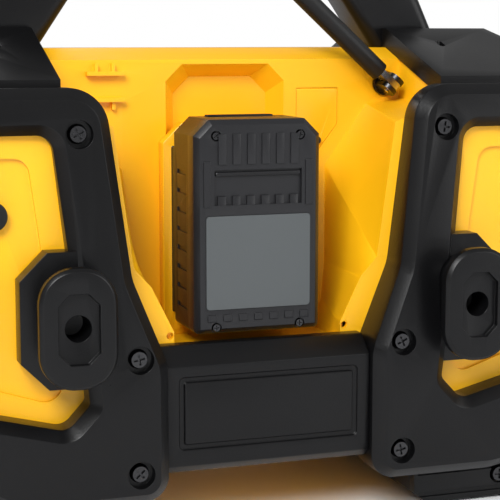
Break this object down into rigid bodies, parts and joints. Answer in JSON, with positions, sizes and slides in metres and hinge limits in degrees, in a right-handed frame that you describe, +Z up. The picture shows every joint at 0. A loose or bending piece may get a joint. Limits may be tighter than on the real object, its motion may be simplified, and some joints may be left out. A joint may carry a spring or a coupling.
{
  "type": "jobsite radio",
  "caption": "Jobsite radio in a black roll cage with yellow housing, rear battery bay, tilting antenna, cord wraps, speakers and carrying handle.",
  "frame": {"origin": "centre of the radio's footprint, on the surface it stands on", "axes": "+X across the radio, to the right as seen from the front; +Y to the rear, where the battery is; +Z up"},
  "size_m": [0.444, 0.296, 0.3794],
  "materials": {
    "yellow_shell": "fine moulded texture, semi-matte",
    "cage_black": "semi-matte with a soft sheen",
    "screw_steel": "dark zinc",
    "panel_black": "satin",
    "cone_black": "matte",
    "magnet_iron": "matte",
    "grille_metal": "satin black",
    "rubber_black": "matte",
    "pack_black": "semi-matte",
    "contact_brass": "bright",
    "label_grey": "matte film",
    "cell_steel": "sleeved",
    "bright_metal": "polished",
    "lens_clear": "smoked, polished",
    "board_green": "solder mask",
    "core_steel": "varnished laminations",
    "coil_copper": "enamelled wire under tape"
  },
  "bodies": {
    "radio": {"rear_housing": "yellow_shell", "front_housing": "yellow_shell", "rear_guard_right": "cage_black", "rear_guard_left": "cage_black", "front_guard_right": "cage_black", "front_guard_left": "cage_black", "rear_crossbar": "cage_black", "front_crossbar": "cage_black", "cage_screws": "screw_steel", "side_rail_right": "cage_black", "side_rail_left": "cage_black", "shoulder_cap_right": "cage_black", "shoulder_cap_left": "cage_black", "base_skid_right": "cage_black", "base_skid_left": "cage_black", "cord_wrap_right": "cage_black", "cord_wrap_left": "cage_black", "speaker_frames": "panel_black", "speaker_cones": "cone_black", "speaker_magnets": "magnet_iron", "speaker_grilles": "grille_metal", "foot_pads": "rubber_black", "foot_screws": "screw_steel", "carry_handle": "cage_black", "handle_grip": "rubber_black", "battery_dock": "pack_black", "dock_blades": "contact_brass", "backup_coin_cell": "bright_metal", "control_panel": "panel_black", "display_lens": "lens_clear", "port_block": "panel_black", "main_board": "board_green", "charger_board": "board_green", "transformer_core": "core_steel", "transformer_coil": "coil_copper", "cord_gland": "rubber_black"},
    "pack": {"pack_base": "pack_black", "pack_cover": "pack_black", "pack_label": "label_grey", "pack_cells": "cell_steel", "pack_cell_frames": "pack_black", "pack_screws": "screw_steel"},
    "pack_button": {"pack_release_button": "pack_black"},
    "antenna_base": {"antenna_turret": "screw_steel", "antenna_retainer": "pack_black", "antenna_pin": "bright_metal"},
    "antenna": {"antenna_tang": "bright_metal", "antenna_mast": "rubber_black"},
    "backup_door": {"backup_battery_door": "yellow_shell", "backup_door_screw": "screw_steel"},
    "volume": {"volume_knob": "rubber_black"},
    "tuning": {"tuning_knob": "rubber_black"},
    "ports_flap": {"port_cover": "rubber_black"},
    "key_1_right_body": {"key_1_right": "rubber_black"},
    "key_1_middle_body": {"key_1_middle": "rubber_black"},
    "key_1_left_body": {"key_1_left": "rubber_black"},
    "key_2_right_body": {"key_2_right": "rubber_black"},
    "key_2_middle_body": {"key_2_middle": "rubber_black"},
    "key_2_left_body": {"key_2_left": "rubber_black"}
  },
  "joints": [
    {"name": "battery_slide", "type": "slide", "parent": "radio", "child": "pack", "axis": [0, 0, 1], "range_m": [0, 0.06]},
    {"name": "battery_release", "type": "slide", "parent": "pack", "child": "pack_button", "axis": [0, 1, 0], "range_m": [0, 0.003], "stiffness_N_per_m": 600},
    {"name": "antenna_swivel", "type": "hinge", "parent": "radio", "child": "antenna_base", "pos_m": [-0.103, 0.049, 0.249], "axis": [0, -1, 0], "range_deg": [-42, 48]},
    {"name": "antenna_fold", "type": "hinge", "parent": "antenna_base", "child": "antenna", "pos_m": [-0.103, 0.049, 0.249], "axis": [-0.6691, 0, 0.7431], "range_deg": [0, 60]},
    {"name": "backup_door_hinge", "type": "hinge", "parent": "radio", "child": "backup_door", "pos_m": [-0.0585, 0.036, 0.2457], "axis": [1, 0, 0], "range_deg": [0, 60]},
    {"name": "volume_turn", "type": "hinge", "parent": "radio", "child": "volume", "pos_m": [0.03, -0.12, 0.153], "axis": [0, -1, 0], "continuous": true},
    {"name": "tuning_turn", "type": "hinge", "parent": "radio", "child": "tuning", "pos_m": [-0.03, -0.12, 0.153], "axis": [0, -1, 0], "continuous": true},
    {"name": "ports_flap_hinge", "type": "hinge", "parent": "radio", "child": "ports_flap", "pos_m": [0, -0.1114, 0.1176], "axis": [1, 0, 0], "range_deg": [0, 90]},
    {"name": "key_1_right_push", "type": "slide", "parent": "radio", "child": "key_1_right_body", "axis": [0, 1, 0], "range_m": [0, 0.0012], "stiffness_N_per_m": 800},
    {"name": "key_1_middle_push", "type": "slide", "parent": "radio", "child": "key_1_middle_body", "axis": [0, 1, 0], "range_m": [0, 0.0012], "stiffness_N_per_m": 800},
    {"name": "key_1_left_push", "type": "slide", "parent": "radio", "child": "key_1_left_body", "axis": [0, 1, 0], "range_m": [0, 0.0012], "stiffness_N_per_m": 800},
    {"name": "key_2_right_push", "type": "slide", "parent": "radio", "child": "key_2_right_body", "axis": [0, 1, 0], "range_m": [0, 0.0012], "stiffness_N_per_m": 800},
    {"name": "key_2_middle_push", "type": "slide", "parent": "radio", "child": "key_2_middle_body", "axis": [0, 1, 0], "range_m": [0, 0.0012], "stiffness_N_per_m": 800},
    {"name": "key_2_left_push", "type": "slide", "parent": "radio", "child": "key_2_left_body", "axis": [0, 1, 0], "range_m": [0, 0.0012], "stiffness_N_per_m": 800}
  ]
}
